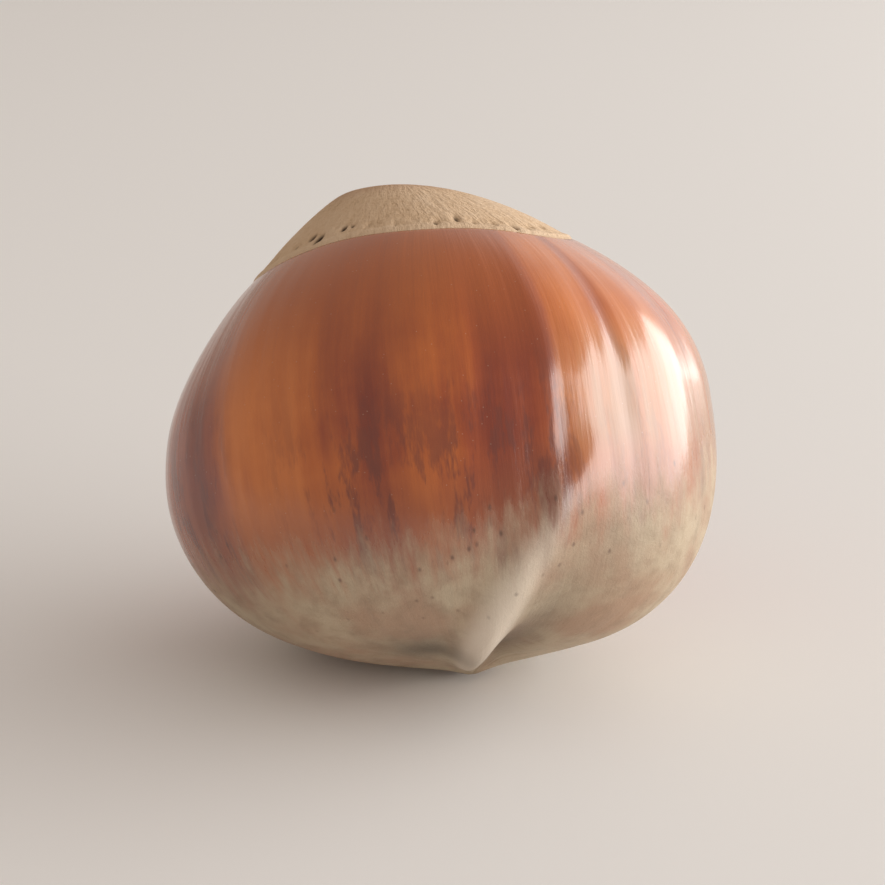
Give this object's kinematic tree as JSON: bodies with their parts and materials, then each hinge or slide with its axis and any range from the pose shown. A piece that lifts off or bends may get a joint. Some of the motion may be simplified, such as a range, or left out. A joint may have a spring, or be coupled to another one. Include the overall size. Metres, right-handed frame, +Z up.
{
  "type": "hazelnut",
  "caption": "Whole hazelnut in its shell, brown and faintly striped, with a downy pointed tip and a pale rough scar, lying on its underside.",
  "frame": {"origin": "middle of the small flat on the underside that the nut rests on", "axes": "+Z up from the table, +X to the right and +Y away from the viewer; the tip points down and towards -Y, the scar up and towards +Y"},
  "size_m": [0.0224, 0.0213, 0.0192],
  "materials": {
    "shell": "satin"
  },
  "bodies": {
    "root": {"hazelnut": "shell"}
  },
  "joints": []
}
